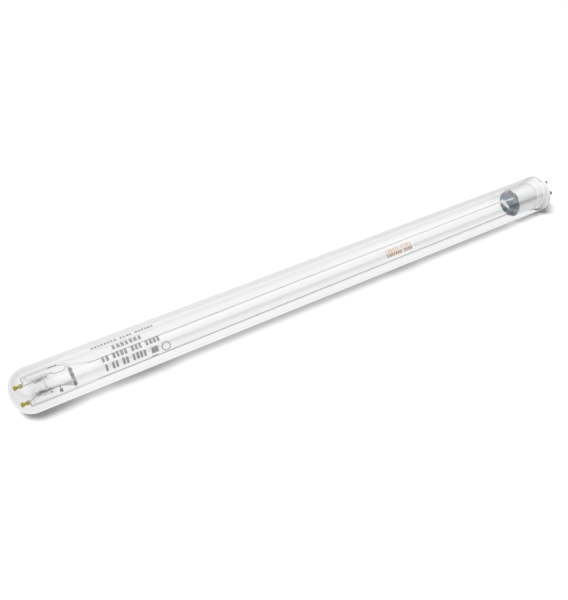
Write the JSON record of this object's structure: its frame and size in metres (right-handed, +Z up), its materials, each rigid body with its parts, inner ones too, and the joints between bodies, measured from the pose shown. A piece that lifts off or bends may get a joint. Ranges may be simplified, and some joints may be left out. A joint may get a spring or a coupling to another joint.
{
  "type": "ultraviolet lamp",
  "caption": "Low-pressure ultraviolet lamp: a discharge tube with a coiled electrode at each end, sealed in a clear domed sleeve on a round ceramic base with contact pins.",
  "frame": {"origin": "centre of the ceramic base's outer face, where the contact pins leave it", "axes": "+X along the lamp from the base to the domed tip, +Z up; the lamp lies along X and its contact pins point towards -X"},
  "size_m": [0.3603, 0.023, 0.023],
  "materials": {
    "sleeve_glass": "polished",
    "tube_glass": "polished",
    "stem_glass": "polished",
    "ceramic": "satin",
    "cement": "matte",
    "shell_metal": "polished",
    "pin_metal": "satin",
    "wire_metal": "satin",
    "crimp_metal": "satin",
    "getter_metal": "matte",
    "coil_coating": "matte",
    "sleeving_cloth": "matte"
  },
  "bodies": {
    "root": {"quartz_sleeve": "sleeve_glass", "lamp_tube": "tube_glass", "near_stem": "stem_glass", "far_stem": "stem_glass", "exhaust_tube": "stem_glass", "ceramic_base": "ceramic", "basing_cement": "cement", "sleeve_cement": "cement", "metal_shell": "shell_metal", "contact_pin_1": "pin_metal", "contact_pin_2": "pin_metal", "contact_pin_3": "pin_metal", "contact_pin_4": "pin_metal", "near_lead_upper": "wire_metal", "near_lead_lower": "wire_metal", "far_lead_upper": "wire_metal", "far_lead_lower": "wire_metal", "upper_return_wire": "wire_metal", "lower_return_wire": "wire_metal", "upper_crimp": "crimp_metal", "lower_crimp": "crimp_metal", "near_fin": "getter_metal", "dispenser": "getter_metal", "amalgam_pad": "getter_metal", "near_filament": "coil_coating", "far_filament": "coil_coating", "upper_wire_sleeving": "sleeving_cloth", "lower_wire_sleeving": "sleeving_cloth"}
  },
  "joints": []
}
